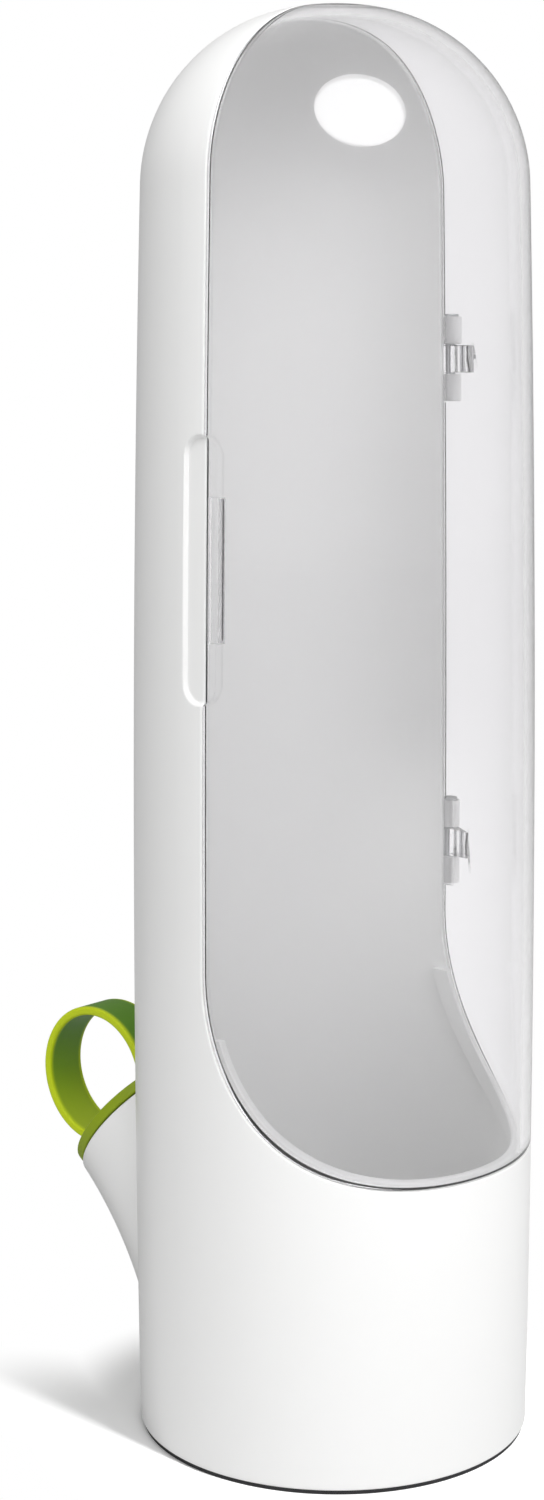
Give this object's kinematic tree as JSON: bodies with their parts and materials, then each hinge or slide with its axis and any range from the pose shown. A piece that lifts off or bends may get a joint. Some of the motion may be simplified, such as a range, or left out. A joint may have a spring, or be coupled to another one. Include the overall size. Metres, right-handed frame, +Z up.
{
  "type": "herb keeper",
  "caption": "Tall free-standing herb keeper: white water cup with a half-round back, clear side-hinged door, bent filling spout and a ring-pull stopper.",
  "frame": {"origin": "centre of the round foot, on the table", "axes": "+Z up, the clear door faces -Y, the filling spout faces +Y"},
  "size_m": [0.0821, 0.1114, 0.2684],
  "materials": {
    "white_shell": "satin white moulding",
    "white_plate": "fine-grained white moulding",
    "foot_rubber": "matte",
    "clear_door": "clear polished",
    "pin_steel": "drawn steel",
    "green_silicone": "satin silicone"
  },
  "bodies": {
    "housing": {"housing": "white_shell", "base_plate": "white_plate", "foot_pad": "foot_rubber", "upper_hinge_pin": "pin_steel", "lower_hinge_pin": "pin_steel"},
    "door": {"door": "clear_door"},
    "stopper": {"stopper": "green_silicone"}
  },
  "joints": [
    {"name": "door_hinge", "type": "hinge", "parent": "housing", "child": "door", "pos_m": [0.0394, 0, 0.1545], "axis": [0, 0, 1], "range_deg": [0, 118]},
    {"name": "stopper_pull", "type": "slide", "parent": "housing", "child": "stopper", "axis": [0, 0.7771, 0.6293], "range_m": [0, 0.04]}
  ]
}
